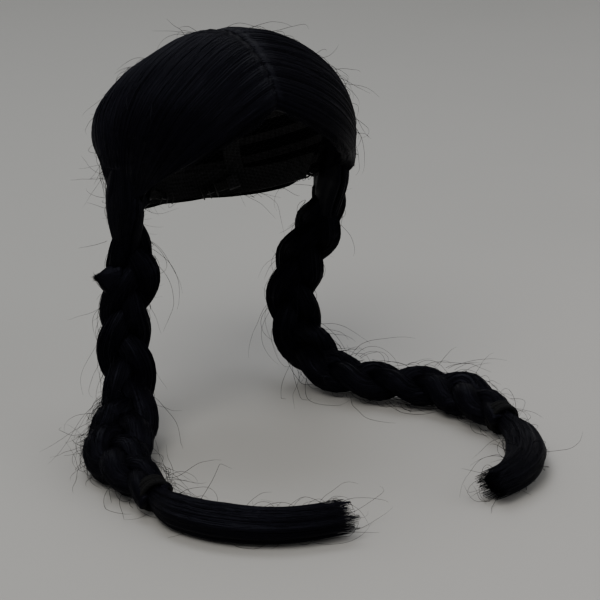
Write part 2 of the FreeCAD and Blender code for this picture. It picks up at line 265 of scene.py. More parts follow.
def add_piece(name, mesh, material):
    """Links a finished mesh, smooth shaded, with its material."""
    piece = bpy.data.objects.new(name, mesh)
    bpy.context.scene.collection.objects.link(piece)
    mesh.materials.clear()
    mesh.materials.append(material)
    mesh.polygons.foreach_set("use_smooth", [True] * len(mesh.polygons))
    return piece


def loft(shape, stations, sides, groove):
    """Adds a closed skin over rings. A station is (centre, half axis, other half axis)."""
    turn = shape.verts.layers.float.get("turn") or shape.verts.layers.float.new("turn")
    ring = bmesh.ops.create_circle(shape, cap_ends=True, radius=1.0, segments=sides)["verts"]
    for vertex in ring:
        vertex[turn] = math.atan2(vertex.co.y, vertex.co.x)
    edges = list(dict.fromkeys(edge for vertex in ring for edge in vertex.link_edges))
    for i, (centre, first, second) in enumerate(stations):
        if i:
            grown = bmesh.ops.extrude_edge_only(shape, edges=edges)["geom"]
            ring = [item for item in grown if isinstance(item, bmesh.types.BMVert)]
            new = set(ring)
            edges = [
                item
                for item in grown
                if isinstance(item, bmesh.types.BMEdge) and set(item.verts) <= new
            ]
        for vertex in ring:
            angle = vertex[turn]
            depth = groove(angle, i)
            vertex.co = centre + (first * math.cos(angle) + second * math.sin(angle)) * depth
    bmesh.ops.edgeloop_fill(shape, edges=edges)
    return shape


def settle(shape):
    """Presses what would sink into the table flat on to it."""
    for vertex in shape.verts:
        vertex.co.z = max(vertex.co.z, TABLE + SETTLE_GAP)


def mesh_from(shape, name):
    """Turns a bmesh into a mesh with its faces outwards."""
    bmesh.ops.recalc_face_normals(shape, faces=shape.faces)
    mesh = bpy.data.meshes.new(name)
    shape.to_mesh(mesh)
    shape.free()
    return mesh


def hairs(name, lines, thickness, material):
    """One mesh of many hairs. Each line is a list of places, thick at its root and fine at its tip."""
    curve = new_curve(name, thickness)
    curve.bevel_resolution = 0
    for line in lines:
        spline = curve.splines.new("POLY")
        spline.points.add(len(line) - 1)
        last = len(line) - 1
        for i, (knot, place) in enumerate(zip(spline.points, line)):
            knot.co = (place.x, place.y, max(place.z, TABLE + thickness), 1.0)
            knot.radius = 1.0 - HAIR_TAPER * (i / last) ** 3
    mesh = mesh_of(curve)
    print(f"{name}: {len(lines)} hairs, {len(mesh.polygons)} faces")
    return add_piece(name, mesh, material)


# %% [markdown]
# ## Shared effects for the materials
# A shader node group is a small tool that many materials share. The first one shades hair: colour
# and roughness wander from tress to tress, so that the black is not one flat black. The second one
# raises crossing threads for tapes and straps. The groups give out only colours and heights, and
# the shader itself stays in each material.


# %% Node groups
TRESS_SCALE = 3.0
FIBRE_SCALE = 22.0
GLOSS_CONTRAST = 2.4
ROUGHNESS_SPREAD = 0.25
STAIN_SCALE = 60.0


def new_group(name, inputs, outputs):
    """An empty shader group with named sockets."""
    group = bpy.data.node_groups.new(name, "ShaderNodeTree")
    for title, kind, value in inputs:
        socket = group.interface.new_socket(title, in_out="INPUT", socket_type=kind)
        if value is not None:
            socket.default_value = value
    for title, kind in outputs:
        group.interface.new_socket(title, in_out="OUTPUT", socket_type=kind)
    start = group.nodes.new("NodeGroupInput")
    end = group.nodes.new("NodeGroupOutput")
    return group, start, end


def math_node(tree, operation, first, second):
    """A math node on two links or numbers."""
    node = tree.nodes.new("ShaderNodeMath")
    node.operation = operation
    for socket, value in zip(node.inputs, (first, second)):
        if isinstance(value, (int, float)):
            socket.default_value = value
        else:
            tree.links.new(value, socket)
    return node.outputs[0]


def mix_colours(tree, share, first, second):
    """A colour mix between two links or colours."""
    node = tree.nodes.new("ShaderNodeMix")
    node.data_type = "RGBA"
    tree.links.new(share, node.inputs["Factor"])
    for socket, value in zip((node.inputs["A"], node.inputs["B"]), (first, second)):
        if isinstance(value, tuple):
            socket.default_value = value
        else:
            tree.links.new(value, socket)
    return node.outputs["Result"]


def texture(tree, kind, vector, **values):
    """A texture node with its vector linked and its numbers set."""
    node = tree.nodes.new(kind)
    tree.links.new(vector, node.inputs["Vector"])
    for name, value in values.items():
        node.inputs[name.replace("_", " ")].default_value = value
    return node


def hair_shading_group():
    """Colour, roughness and a fine height that vary from tress to tress."""
    group, start, end = new_group(
        "hair_shading",
        [
            ("Vector", "NodeSocketVector", None),
            ("Deep", "NodeSocketColor", None),
            ("Lit", "NodeSocketColor", None),
            ("Least Roughness", "NodeSocketFloat", 0.3),
        ],
        [
            ("Colour", "NodeSocketColor"),
            ("Roughness", "NodeSocketFloat"),
            ("Height", "NodeSocketFloat"),
        ],
    )
    vector = start.outputs["Vector"]
    broad = texture(group, "ShaderNodeTexNoise", vector, Scale=TRESS_SCALE, Detail=3.0)
    fine = texture(group, "ShaderNodeTexNoise", vector, Scale=FIBRE_SCALE, Detail=4.0)
    amount = math_node(group, "MULTIPLY", broad.outputs[0], fine.outputs[0])
    amount = math_node(group, "MULTIPLY", amount, GLOSS_CONTRAST)
    amount = math_node(group, "MINIMUM", amount, 1.0)
    colour = mix_colours(group, amount, start.outputs["Deep"], start.outputs["Lit"])
    rough = math_node(group, "MULTIPLY", fine.outputs[0], ROUGHNESS_SPREAD)
    rough = math_node(group, "ADD", rough, start.outputs["Least Roughness"])
    group.links.new(colour, end.inputs["Colour"])
    group.links.new(rough, end.inputs["Roughness"])
    group.links.new(fine.outputs[0], end.inputs["Height"])
    return group


def thread_group():
    """The height and shade of threads that cross each other, whichever way a tape faces."""
    group, start, end = new_group(
        "crossing_threads",
        [
            ("Vector", "NodeSocketVector", None),
            ("Threads", "NodeSocketFloat", 900.0),
            ("Wear", "NodeSocketFloat", 0.3),
        ],
        [("Height", "NodeSocketFloat"), ("Shade", "NodeSocketFloat")],
    )
    split = group.nodes.new("ShaderNodeSeparateXYZ")
    group.links.new(start.outputs["Vector"], split.inputs[0])
    waves = []
    for axis in "XYZ":
        phase = math_node(group, "MULTIPLY", split.outputs[axis], start.outputs["Threads"])
        waves.append(math_node(group, "SINE", phase, 0.0))
    height = math_node(group, "ADD", math_node(group, "ADD", waves[0], waves[1]), waves[2])
    height = math_node(group, "MULTIPLY", height, 0.33)
    vector = start.outputs["Vector"]
    stains = texture(group, "ShaderNodeTexNoise", vector, Scale=STAIN_SCALE, Detail=5.0)
    worn = math_node(group, "MULTIPLY", stains.outputs[0], start.outputs["Wear"])
    half = math_node(group, "MULTIPLY", height, 0.5)
    shade = math_node(group, "ADD", math_node(group, "ADD", half, 0.4), worn)
    group.links.new(height, end.inputs["Height"])
    group.links.new(shade, end.inputs["Shade"])
    return group


HAIR_SHADING = hair_shading_group()
THREADS = thread_group()
print("groups:", [group.name for group in bpy.data.node_groups])

# %% [markdown]
# ## Materials
# Synthetic wig fibre is almost pure black, with a cool violet-blue gloss where light grazes it. The
# masses take their pattern from their own UV map, stretched along the hair, and single hairs from
# their place in space. Tapes, straps and thread share the crossing threads group.


# %% Materials
HAIR_DEEP = (0.0004, 0.0004, 0.0006)
MASS_LIT = (0.0018, 0.0016, 0.0030)
FINE_LIT = (0.0024, 0.0021, 0.0040)
MASS_STRETCH = (30.0, 1.2, 1.0)
FINE_STRETCH = (60.0, 60.0, 60.0)
HAIR_SPECULAR = 0.075
THREAD_SPECULAR = 0.2
COOL_TINT = (0.72, 0.74, 1.0, 1.0)
VIOLET_SHEEN = (0.42, 0.40, 0.75, 1.0)


def new_material(name):
    """A material with its shader and the object's own coordinates."""
    material = bpy.data.materials.new(name)
    material.use_nodes = True
    tree = material.node_tree
    shader = tree.nodes["Principled BSDF"]
    coordinates = tree.nodes.new("ShaderNodeTexCoord")
    return material, tree, shader, coordinates


def bump(tree, shader, height, strength, distance):
    """Raises a height on the shader's surface."""
    node = tree.nodes.new("ShaderNodeBump")
    node.inputs["Strength"].default_value = strength
    node.inputs["Distance"].default_value = distance
    tree.links.new(height, node.inputs["Height"])
    tree.links.new(node.outputs[0], shader.inputs["Normal"])


def hair_material(name, stretch, use_uv, deep, lit, roughness):
    """Black fibre. The stretch says how much finer the pattern is across the hair than along."""
    material, tree, shader, coordinates = new_material(name)
    mapping = tree.nodes.new("ShaderNodeMapping")
    mapping.inputs["Scale"].default_value = stretch
    source = coordinates.outputs["UV" if use_uv else "Object"]
    tree.links.new(source, mapping.inputs["Vector"])
    shading = tree.nodes.new("ShaderNodeGroup")
    shading.node_tree = HAIR_SHADING
    shading.inputs["Deep"].default_value = (*deep, 1.0)
    shading.inputs["Lit"].default_value = (*lit, 1.0)
    shading.inputs["Least Roughness"].default_value = roughness
    tree.links.new(mapping.outputs[0], shading.inputs["Vector"])
    tree.links.new(shading.outputs["Colour"], shader.inputs["Base Color"])
    tree.links.new(shading.outputs["Roughness"], shader.inputs["Roughness"])
    bump(tree, shader, shading.outputs["Height"], 0.5, 0.0004)
    shader.inputs["Specular IOR Level"].default_value = HAIR_SPECULAR
    shader.inputs["Specular Tint"].default_value = COOL_TINT
    shader.inputs["Sheen Weight"].default_value = 0.003
    shader.inputs["Sheen Roughness"].default_value = 0.4
    shader.inputs["Sheen Tint"].default_value = VIOLET_SHEEN
    return material


def thread_material(name, dark, light, threads, roughness, wear=0.3, sheen=0.1):
    """Tape, thread or knitted elastic."""
    material, tree, shader, coordinates = new_material(name)
    weave = tree.nodes.new("ShaderNodeGroup")
    weave.node_tree = THREADS
    weave.inputs["Threads"].default_value = threads
    weave.inputs["Wear"].default_value = wear
    tree.links.new(coordinates.outputs["Object"], weave.inputs["Vector"])
    colour = mix_colours(tree, weave.outputs["Shade"], (*dark, 1.0), (*light, 1.0))
    tree.links.new(colour, shader.inputs["Base Color"])
    bump(tree, shader, weave.outputs["Height"], 0.6, 0.0003)
    shader.inputs["Roughness"].default_value = roughness
    shader.inputs["Specular IOR Level"].default_value = THREAD_SPECULAR
    shader.inputs["Sheen Weight"].default_value = sheen
    return material


MASS_HAIR = hair_material("hair_mass", MASS_STRETCH, True, HAIR_DEEP, MASS_LIT, 0.36)
FINE_HAIR = hair_material("hair_fine", FINE_STRETCH, False, HAIR_DEEP, FINE_LIT, 0.30)
NET_MATERIAL = thread_material("cap_net_nylon", (0.010,) * 3, (0.035,) * 3, 5200.0, 0.5)
TAPE = thread_material("band_tape", (0.012,) * 3, (0.060, 0.060, 0.064), 3000.0, 0.7)
WEFT_TAPE = thread_material("weft_stitching", (0.006,) * 3, (0.045, 0.043, 0.048), 2400.0, 0.6)
PARTING = thread_material("parting_base", (0.03, 0.024, 0.020), (0.09, 0.07, 0.06), 4200.0, 0.75)
STRAP = thread_material("strap_knit", (0.010,) * 3, (0.040,) * 3, 3600.0, 0.7, 0.4)
LOOP_THREAD = thread_material("loop_thread", (0.010,) * 3, (0.050,) * 3, 6000.0, 0.6)
TIE_ELASTIC = thread_material("tie_elastic", (0.0005,) * 3, (0.0025,) * 3, 4200.0, 0.9, 0.4, 0.0)


def hook_material():
    """Moulded black nylon with a faint, fine grain."""
    material, tree, shader, coordinates = new_material("hook_plastic")
    grain = texture(
        tree, "ShaderNodeTexNoise", coordinates.outputs["Object"], Scale=900.0, Detail=4.0
    )
    dark, light = (0.006, 0.006, 0.007, 1.0), (0.03, 0.03, 0.032, 1.0)
    colour = mix_colours(tree, grain.outputs[0], dark, light)
    tree.links.new(colour, shader.inputs["Base Color"])
    rough = math_node(tree, "ADD", math_node(tree, "MULTIPLY", grain.outputs[0], 0.2), 0.3)
    tree.links.new(rough, shader.inputs["Roughness"])
    bump(tree, shader, grain.outputs[0], 0.3, 0.00005)
    return material


HOOK = hook_material()
print("materials:", len(bpy.data.materials))

# %% [markdown]
# ## The three strands of a plait
# In a three-strand plait every strand swings from side to side, and it dips behind and rises over
# twice as often. The strands are a third of a cycle apart, so two sine waves draw the whole
# crossing. Each strand is skinned with shallow grooves, and it is fuller or thinner along the way,
# from a short table for each plait, because no real plait is even. The tables say how far along
# the plait, and how full it is there.

# %% Plait strands
PLAIT_CYCLE = 0.096
SWING = 0.0118
DIP = 0.0052
STRAND_RADIUS = 0.0100
STRAND_FLAT = 0.9
STRAND_SIDES = 26
STRAND_SWELL = 0.06
TRESS_DRIFT = 0.012
PLAIT_HAIR = 0.00028
HAIRS_ROUND_A_STRAND = 78
FULLNESS = {
    "right": [
        (0.0, 0.50), (0.010, 0.60), (0.020, 0.72), (0.030, 0.85), (0.042, 0.80), (0.054, 0.76),
        (0.072, 0.81), (0.096, 0.87), (0.112, 0.80), (0.126, 0.82), (0.146, 0.97), (0.166, 1.04),
        (0.190, 0.92), (0.212, 0.80), (0.230, 0.62), (0.300, 0.52),
    ],
    "left": [
        (0.0, 0.50), (0.010, 0.60), (0.030, 0.80), (0.060, 0.84), (0.110, 0.84), (0.150, 0.80),
        (0.175, 0.76), (0.225, 0.78), (0.255, 0.86), (0.275, 0.78), (0.292, 0.60), (0.350, 0.52),
    ],
}


def plait_strands(side):
    """The middle lines of the three strands, as lists of (place, size)."""
    frames = frames_along(plait_lines[side])
    strands = []
    for k in range(3):
        strand = []
        for i, (place, _, face, across) in enumerate(frames):
            distance = i * STEP
            turn = FULL_TURN * (distance / PLAIT_CYCLE + k / 3)
            size = between(FULLNESS[side], distance)
            wander = noise.noise(Vector((distance * 30, k * 7.0, SIDES[side])))
            swell = 1 + STRAND_SWELL * wander
            aside = across * (SWING * size * math.sin(turn))
            out = face * (DIP * size * math.sin(2 * turn))
            strand.append((place + aside + out, STRAND_RADIUS * size * swell))
        strands.append(strand)
    return strands


def ring_axes(places, i):
    """Two directions square to a strand at one of its points."""
    ahead = (places[min(i + 1, len(places) - 1)] - places[max(i - 1, 0)]).normalized()
    first = ahead.cross(FORWARDS.lerp(UP, ease(1 - abs(ahead.z)))).normalized()
    return first, first.cross(ahead)


def tress_groove(angle, i):
    """Shallow furrows round a tress that drift slowly along it."""
    drift = TRESS_DRIFT * i
    return 1 + 0.035 * math.sin(7 * (angle + drift)) + 0.02 * math.sin(13 * (angle - drift))


# A tuft is pulled out of one plait. TUFT_AT says how far down its plait it is.
TUFT_AT = {"right": 0.0400}
TUFT_REACH = (0.010, 0.0245)
TUFT_HALF_HEIGHT = 0.0150
TUFT_POINT = 0.0005
TUFT_STEPS = 8
TUFT_HAIRS = 110
TUFT_SCATTER = 0.0006


def tuft_stations(side):
    """The rings of a pulled-out tuft, from inside the plait to its point."""
    place, ahead, face, across = frames_along(plait_lines[side])[int(TUFT_AT[side] / STEP)]
    outwards = (across + face * 0.25).normalized()
    low, high = TUFT_REACH
    stations = []
    for k in range(TUFT_STEPS + 1):
        left = 1 - k / TUFT_STEPS
        centre = place + outwards * (high - (high - low) * left)
        height = TUFT_HALF_HEIGHT * left**0.85 + TUFT_POINT
        stations.append((centre, ahead * height, outwards.cross(ahead) * (height * 0.5)))
    return stations


def tuft_hair_lines(side, count):
    """Hairs that run together into the tuft's point and a little past it."""
    stations = tuft_stations(side)
    lines = []
    for _ in range(count):
        turn = chance.uniform(0, FULL_TURN)
        size = chance.uniform(0.6, 1.05)
        scatter = Vector([chance.gauss(0, TUFT_SCATTER) for _ in range(3)])
        line = []
        for k, (centre, first, second) in enumerate(stations):
            spot = centre + (first * math.cos(turn) + second * math.sin(turn)) * size
            line.append(spot + scatter * (k / TUFT_STEPS) ** 2)
        line.append(line[-1] + (line[-1] - line[-2]) * chance.uniform(0.1, 0.7) + scatter * 0.5)
        lines.append(line)
    return lines


def plait_body(side, material):
    """The three strands of one plait, in one mesh."""
    shape = bmesh.new()
    for strand in plait_strands(side):
        places = [place for place, _ in strand]
        stations = []
        for i, (place, radius) in enumerate(strand):
            first, second = ring_axes(places, i)
            stations.append((place, first * radius, second * radius * STRAND_FLAT))
        loft(shape, stations, STRAND_SIDES, tress_groove)
    if side in TUFT_AT:
        loft(shape, tuft_stations(side), STRAND_SIDES, tress_groove)
    settle(shape)
    return add_piece(f"{side}_plait", mesh_from(shape, f"{side}_plait"), material)


def plait_hair_lines(side, count, skip):
    """Hairs that run along the surface of the strands."""
    lines = []
    for strand in plait_strands(side):
        places = [place for place, _ in strand]
        for h in range(count):
            angle = FULL_TURN * (h + chance.random()) / count
            drift = chance.uniform(-0.25, 0.25)
            lift = chance.uniform(-0.0001, 0.0005)
            seed = chance.uniform(0, 99)
            line = []
            for i in range(0, len(strand), skip):
                place, radius = strand[i]
                first, second = ring_axes(places, i)
                turn = angle + drift * math.sin(i * 0.05 + seed)
                wave = 0.0004 * noise.noise(Vector((i * 0.12, seed, 0.0)))
                reach = radius * tress_groove(turn, i) + lift + wave
                spot = place + first * (reach * math.cos(turn))
                line.append(spot + second * (reach * STRAND_FLAT * math.sin(turn)))
            lines.append(line)
    return lines


plaits, plait_hairs = {}, {}
for side in SIDES:
    plaits[side] = plait_body(side, FINE_HAIR)
    lines = plait_hair_lines(side, HAIRS_ROUND_A_STRAND, 2)
    if side in TUFT_AT:
        lines += tuft_hair_lines(side, TUFT_HAIRS)
    plait_hairs[side] = hairs(f"{side}_plait_hairs", lines, PLAIT_HAIR, FINE_HAIR)
    print(side, "plait faces", len(plaits[side].data.polygons))

# %% [markdown]
# ## The loose tails
# Past the tie the hair is not plaited. It is a bundle that comes out of the tie narrow, spreads,
# lies flat on the table and ends in a blunt, ragged cut where the hairs have different lengths. A
# grooved mass fills it, and a few hundred hairs give it its surface and its end.

# %% Tails
TAIL_WIDTH = [(0.0, 0.0080), (0.012, 0.0086), (0.030, 0.0125), (0.060, 0.0150), (0.140, 0.0138)]
TAIL_HEIGHT = [(0.0, 0.0080), (0.012, 0.0084), (0.030, 0.0108), (0.060, 0.0116), (0.140, 0.0104)]
TAIL_CUT = 0.010
TAIL_SIZE = {"right": 0.96, "left": 0.87}
TAIL_SIDES = 40
TAIL_HAIRS = 620
# How deep in the tail its hairs run, from 1 at the surface. The surface comes up most often.
TAIL_LAYERS = [1.0, 1.0, 1.0, 0.8, 0.6, 0.35]


def tail_groove(angle, i):
    """Tresses of the loose tail."""
    slow = 0.02 * i
    return 0.93 + 0.05 * math.sin(5 * angle + slow) + 0.03 * math.sin(11 * angle - slow)


def tail_body(side, material):
    """The mass of a tail, which stops a little short of its longest hairs."""
    shape = bmesh.new()
    frames = frames_along(tail_lines[side])
    stop = len(frames) - int(TAIL_CUT / STEP)
    stations = []
    for i, (place, _, face, across) in enumerate(frames[:stop]):
        left = (stop - 1 - i) / 4
        round_off = math.sqrt(min(1.0, 0.55 + 0.45 * left))
        width = between(TAIL_WIDTH, i * STEP) * round_off * TAIL_SIZE[side]
        height = between(TAIL_HEIGHT, i * STEP) * round_off * TAIL_SIZE[side]
        stations.append((place, across * width, face * height))
    loft(shape, stations, TAIL_SIDES, tail_groove)
    settle(shape)
    return add_piece(f"{side}_tail_mass", mesh_from(shape, f"{side}_tail_mass"), material)


def tail_hair_lines(side, count):
    """Hairs of the tail, inside and on its surface, cut off at different lengths."""
    frames = frames_along(tail_lines[side])
    lines = []
    for _ in range(count):
        angle = chance.uniform(0, FULL_TURN)
        deep = chance.choice(TAIL_LAYERS)
        seed = chance.uniform(0, 99)
        ragged = 0.5 + 0.5 * noise.noise(Vector((angle * 1.3, deep * 2, SIDES[side] * 5.0)))
        last = len(frames) - 1 - int(chance.uniform(0, 0.35) * 6 + ragged * 5)
        line = []
        for i in [*range(0, last, 3), last]:
            place, _, face, across = frames[i]
            turn = angle + 0.15 * noise.noise(Vector((i * 0.05, seed, 3.0)))
            size = (deep * tail_groove(turn, i) + 0.03) * TAIL_SIZE[side]
            width = between(TAIL_WIDTH, i * STEP) * size * math.cos(turn)
            height = between(TAIL_HEIGHT, i * STEP) * size * math.sin(turn)
            line.append(place + across * width + face * height)
        lines.append(line)
    return lines


tails, tail_hairs = {}, {}
for side in SIDES:
    tails[side] = tail_body(side, FINE_HAIR)
    lines = tail_hair_lines(side, TAIL_HAIRS)
    tail_hairs[side] = hairs(f"{side}_tail_hairs", lines, PLAIT_HAIR, FINE_HAIR)

# %% [markdown]
# ## The ties
# A tie is a covered elastic: a cord wound a few times round the neck of the plait. One helix, as a
# spline with a round bevel, gives the wraps, and its ends tuck under.

# %% Hair ties
TIE_TURNS = 3.6
TIE_CORD = 0.0016
TIE_LENGTH = 0.010
TIE_RADIUS = 0.0096
TIE_TUCK = 0.0012
TIE_WOBBLE = 0.0003
TIE_FROM_END = 0.0075
TIE_STEPS_A_TURN = 14


def tie_piece(side):
    """The wound elastic at the end of a plait."""
    frames = frames_along(plait_lines[side])
    place, ahead, face, across = frames[len(frames) - 1 - int(TIE_FROM_END / STEP)]
    count = int(TIE_TURNS * TIE_STEPS_A_TURN)
    helix = []
    for i in range(count + 1):
        share = i / count
        turn = FULL_TURN * TIE_TURNS * share
        tuck = TIE_TUCK * (ease(share * 10) + ease((1 - share) * 10) - 2)
        radius = TIE_RADIUS + tuck + TIE_WOBBLE * math.sin(turn * 0.37)
        centre = place + ahead * ((share - 0.5) * TIE_LENGTH)
        helix.append(centre + across * (radius * math.cos(turn)) + face * (radius * math.sin(turn)))
    curve = new_curve(f"{side}_tie", TIE_CORD)
    curve.bevel_resolution = 3
    curve.resolution_u = 3
    add_smooth_spline(curve, helix)
    return add_piece(f"{side}_hair_tie_cord", mesh_of(curve), TIE_ELASTIC)


ties = {side: tie_piece(side) for side in SIDES}
print("tie faces:", len(ties["right"].data.polygons))

# %% [markdown]
# ## The shape of the combed dome
# The wig's hair covers an egg that leans back. Every hair starts at the centre part and is combed
# down to the gather at its own ear, so a place on the hair has two numbers: how far back it starts
# along the part (0 at the forehead, 1 at the nape) and how far it has run (0 at the part, 1 at the
# gather). On a ball the straightest way between two points is a great circle, so the start and
# the end are joined there, and the ball is then stretched into the egg. The first hairs bend to the
# hairline and the last ones to the nape line.

# %% The dome
HALF_SIZE = Vector((0.0868, 0.1020, 0.0755))
TILT = Matrix.Rotation(math.radians(-24.6), 3, "X")
FOREHEAD_ANGLE = 174.0
NAPE_ANGLE = -20.8
GATHER_Y = {"right": -0.022, "left": 0.002}
HAIRLINE = [
    (0.0, 0.0465), (0.013, 0.041), (0.025, 0.0345), (0.040, 0.0245), (0.053, 0.0135),
    (0.065, 0.003), (0.075, -0.007), (0.079, -0.012),
]
NAPE_LINE = [(0.074, -0.0625), (0.060, -0.060), (0.030, -0.048)]
# Half the gap that the part leaves between the two sides, and the steps of the two edge lines.
PART_GAP = 0.0004
EDGE_STEPS = 60


def on_dome(unit, depth):
    """The place this far under the hair's outer surface, for a point of the unit ball."""
    return TILT @ Vector([u * (size - depth) for u, size in zip(unit, HALF_SIZE)])


def on_ball(place):
    """The point of the unit ball for a place on the dome."""
    local = TILT.transposed() @ Vector(place)
    return Vector([c / size for c, size in zip(local, HALF_SIZE)]).normalized()


def front_point(x, z):
    """The place on the front of the dome with this x and z, found by halving."""
    inside, outside = 0.0, -0.16
    for _ in range(40):
        y = (inside + outside) / 2
        local = TILT.transposed() @ Vector((x, y, z))
        if sum((c / size) ** 2 for c, size in zip(local, HALF_SIZE)) < 1:
            inside = y
        else:
            outside = y
    return Vector((x, inside, z))


def side_point(sign, y, z):
    """The place on one side of the dome with this y and z."""
    local = TILT.transposed() @ Vector((0, y, z))
    rest = 1 - (local.y / HALF_SIZE.y) ** 2 - (local.z / HALF_SIZE.z) ** 2
    return Vector((sign * HALF_SIZE.x * math.sqrt(max(0.0, rest)), y, z))


def ball_angle(degrees, aside):
    """A point of the ball on its middle plane, or a little to one side of it."""
    a = math.radians(degrees)
    return Vector((aside, math.cos(a), math.sin(a))).normalized()


def edge_lines(side):
    """The hairline and the nape line as points of the ball, from the middle to the gather."""
    sign, y = SIDES[side], GATHER_Y[side]
    front = [front_point(sign * x, z) for x, z in HAIRLINE]
    front.append(side_point(sign, y - 0.012, -0.026))
    back = [on_dome(ball_angle(NAPE_ANGLE, sign * PART_GAP), 0.0)]
    back += [side_point(sign, *place) for place in NAPE_LINE]
    back.append(side_point(sign, y + 0.013, -0.034))
    lines = []
    for route in (front, back):
        line = evenly(route, 0.001)
        lines.append([on_ball(place) for place in evenly(line, length_of(line) / EDGE_STEPS)])
    return lines


EDGES = {side: edge_lines(side) for side in SIDES}
# How much of the part's length bends to the hairline and to the nape line.
FRONT_REACH = 0.24
NAPE_REACH = 0.20
# The hair's inner surface, and how far its outer one stands out, or in, at a few places.
INNER_DEPTH = 0.0084
LOW_BACK_IN = 0.0076
LEFT_TOP_OUT = 0.0012
LEFT_EAR_OUT = 0.0050
RIGHT_BACK_OUT = 0.0026
RIGHT_TOP_IN = 0.0012
RIGHT_OF_PART_OUT = 0.0012


def hump(value, middle, spread):
    """A bell: 1 at its middle, and fading to both sides."""
    return math.exp(-(((value - middle) / spread) ** 2))


def uneven(side, place):
    """How far the hair stands out from the egg here, in metres: no head of hair is quite even."""
    x, y, z = place
    out = -LOW_BACK_IN * ease((0.009 - z) / 0.028) * ease((y + 0.006) / 0.030)
    if side == "left":
        out += LEFT_TOP_OUT * ease(z / 0.030) * ease(1.2 - abs(y) / 0.06)
        out += LEFT_EAR_OUT * ease((0.004 - z) / 0.016) * ease(1.4 - abs(y + 0.012) / 0.025)
    else:
        out += RIGHT_BACK_OUT * hump(z, 0.022, 0.016) * ease(y / 0.03 + 0.7)
        out -= RIGHT_TOP_IN * ease((z - 0.045) / 0.015) * ease((-0.02 - x) / 0.02)
        out += RIGHT_OF_PART_OUT * hump(x, -0.012, 0.012) * ease(z / 0.05)
    return out


def combed(side, start, run, depth):
    """A place in the combed hair: where it starts on the part, and how far it has run."""
    sign, y = SIDES[side], GATHER_Y[side]
    first = ball_angle(FOREHEAD_ANGLE + (NAPE_ANGLE - FOREHEAD_ANGLE) * start, sign * PART_GAP)
    end = side_point(sign, y + 0.025 * (start - 0.5), -0.030)
    way = first.slerp(on_ball(end), run)
    front, back = EDGES[side]
    k = run * EDGE_STEPS
    i = min(EDGE_STEPS - 1, int(k))
    if start < FRONT_REACH:
        edge = front[i].lerp(front[i + 1], k - i)
        way = way.lerp(edge, (1 - start / FRONT_REACH) ** 2).normalized()
    if start > 1 - NAPE_REACH:
        edge = back[i].lerp(back[i + 1], k - i)
        way = way.lerp(edge, (1 - (1 - start) / NAPE_REACH) ** 2).normalized()
    skin = min(1.0, max(0.0, 1 - depth / INNER_DEPTH))
    return on_dome(way, depth - skin * uneven(side, on_dome(way, 0.0)))


# %% [markdown]
# ## Locks
# Each side's hair is five locks, as in the engineering model: fringe, top, crown, back and nape.
# A flat grid is made, its squares are bent to the dome, and the sheet is extruded inwards to the
# cap. The depth has three parts: broad tresses, fine furrows, and a dip at the part and at the
# edges, where hair lies thin.

# %% Locks
LOCKS = {
    "fringe": (0.0, 0.25), "top": (0.25, 0.43), "crown": (0.43, 0.62), "back": (0.62, 0.82),
    "nape": (0.82, 1.0),
}
TRESSES = 27
TRESS_DEPTH = 0.0011
FURROW_DEPTH = 0.00045
FIBRE_DEPTH = 0.00022
PART_DEPTH = 0.0010
EDGE_DEPTH = 0.0050
EDGE_WIDTH = 0.030
LOCK_SQUARES = (64, 54)
LOCK_HAIR = 0.00026
HAIRS_A_LOCK = 300
LOCK_HAIR_STEPS = 23


def hair_depth(side, start, run):
    """How far the surface of the hair sinks below the dome's outline."""
    sign = SIDES[side]
    wander = 0.5 * noise.noise(Vector((start * 9, run * 2.2, sign * 4.0)))
    tress = abs(math.sin(math.pi * (start * TRESSES + wander)))
    fine = noise.noise(Vector((start * 260, run * 3.0, sign * 9.0)))
    middle = noise.noise(Vector((start * 90, run * 2.0, sign * 2.0)))
    tight = 1 - 0.6 * run
    grooves = TRESS_DEPTH * (1 - tress**0.6) + FURROW_DEPTH * middle + FIBRE_DEPTH * fine
    depth = 0.0007 + grooves * tight
    depth += PART_DEPTH * hump(run, 0.0, 0.014)
    edge = min(start / EDGE_WIDTH, (1 - start) / EDGE_WIDTH)
    depth += EDGE_DEPTH * math.exp(-(edge**2))
    return min(depth, INNER_DEPTH - 0.0008)


def lock_mass(side, name, material):
    """One lock as a closed mass."""
    low, high = LOCKS[name]
    shape = bmesh.new()
    shape.loops.layers.uv.verify()
    columns, rows = LOCK_SQUARES
    bmesh.ops.create_grid(shape, x_segments=columns, y_segments=rows, size=0.5, calc_uvs=True)
    start_layer = shape.verts.layers.float.new("start")
    run_layer = shape.verts.layers.float.new("run")
    for vertex in shape.verts:
        vertex[start_layer] = low + (high - low) * (vertex.co.x + 0.5)
        vertex[run_layer] = vertex.co.y + 0.5
    grown = bmesh.ops.extrude_face_region(shape, geom=shape.faces[:])["geom"]
    inner = {item for item in grown if isinstance(item, bmesh.types.BMVert)}
    for vertex in shape.verts:
        start, run = vertex[start_layer], vertex[run_layer]
        depth = INNER_DEPTH if vertex in inner else hair_depth(side, start, run)
        vertex.co = combed(side, start, run, depth)
    title = f"{side}_{name}_lock"
    return add_piece(title, mesh_from(shape, title), material)


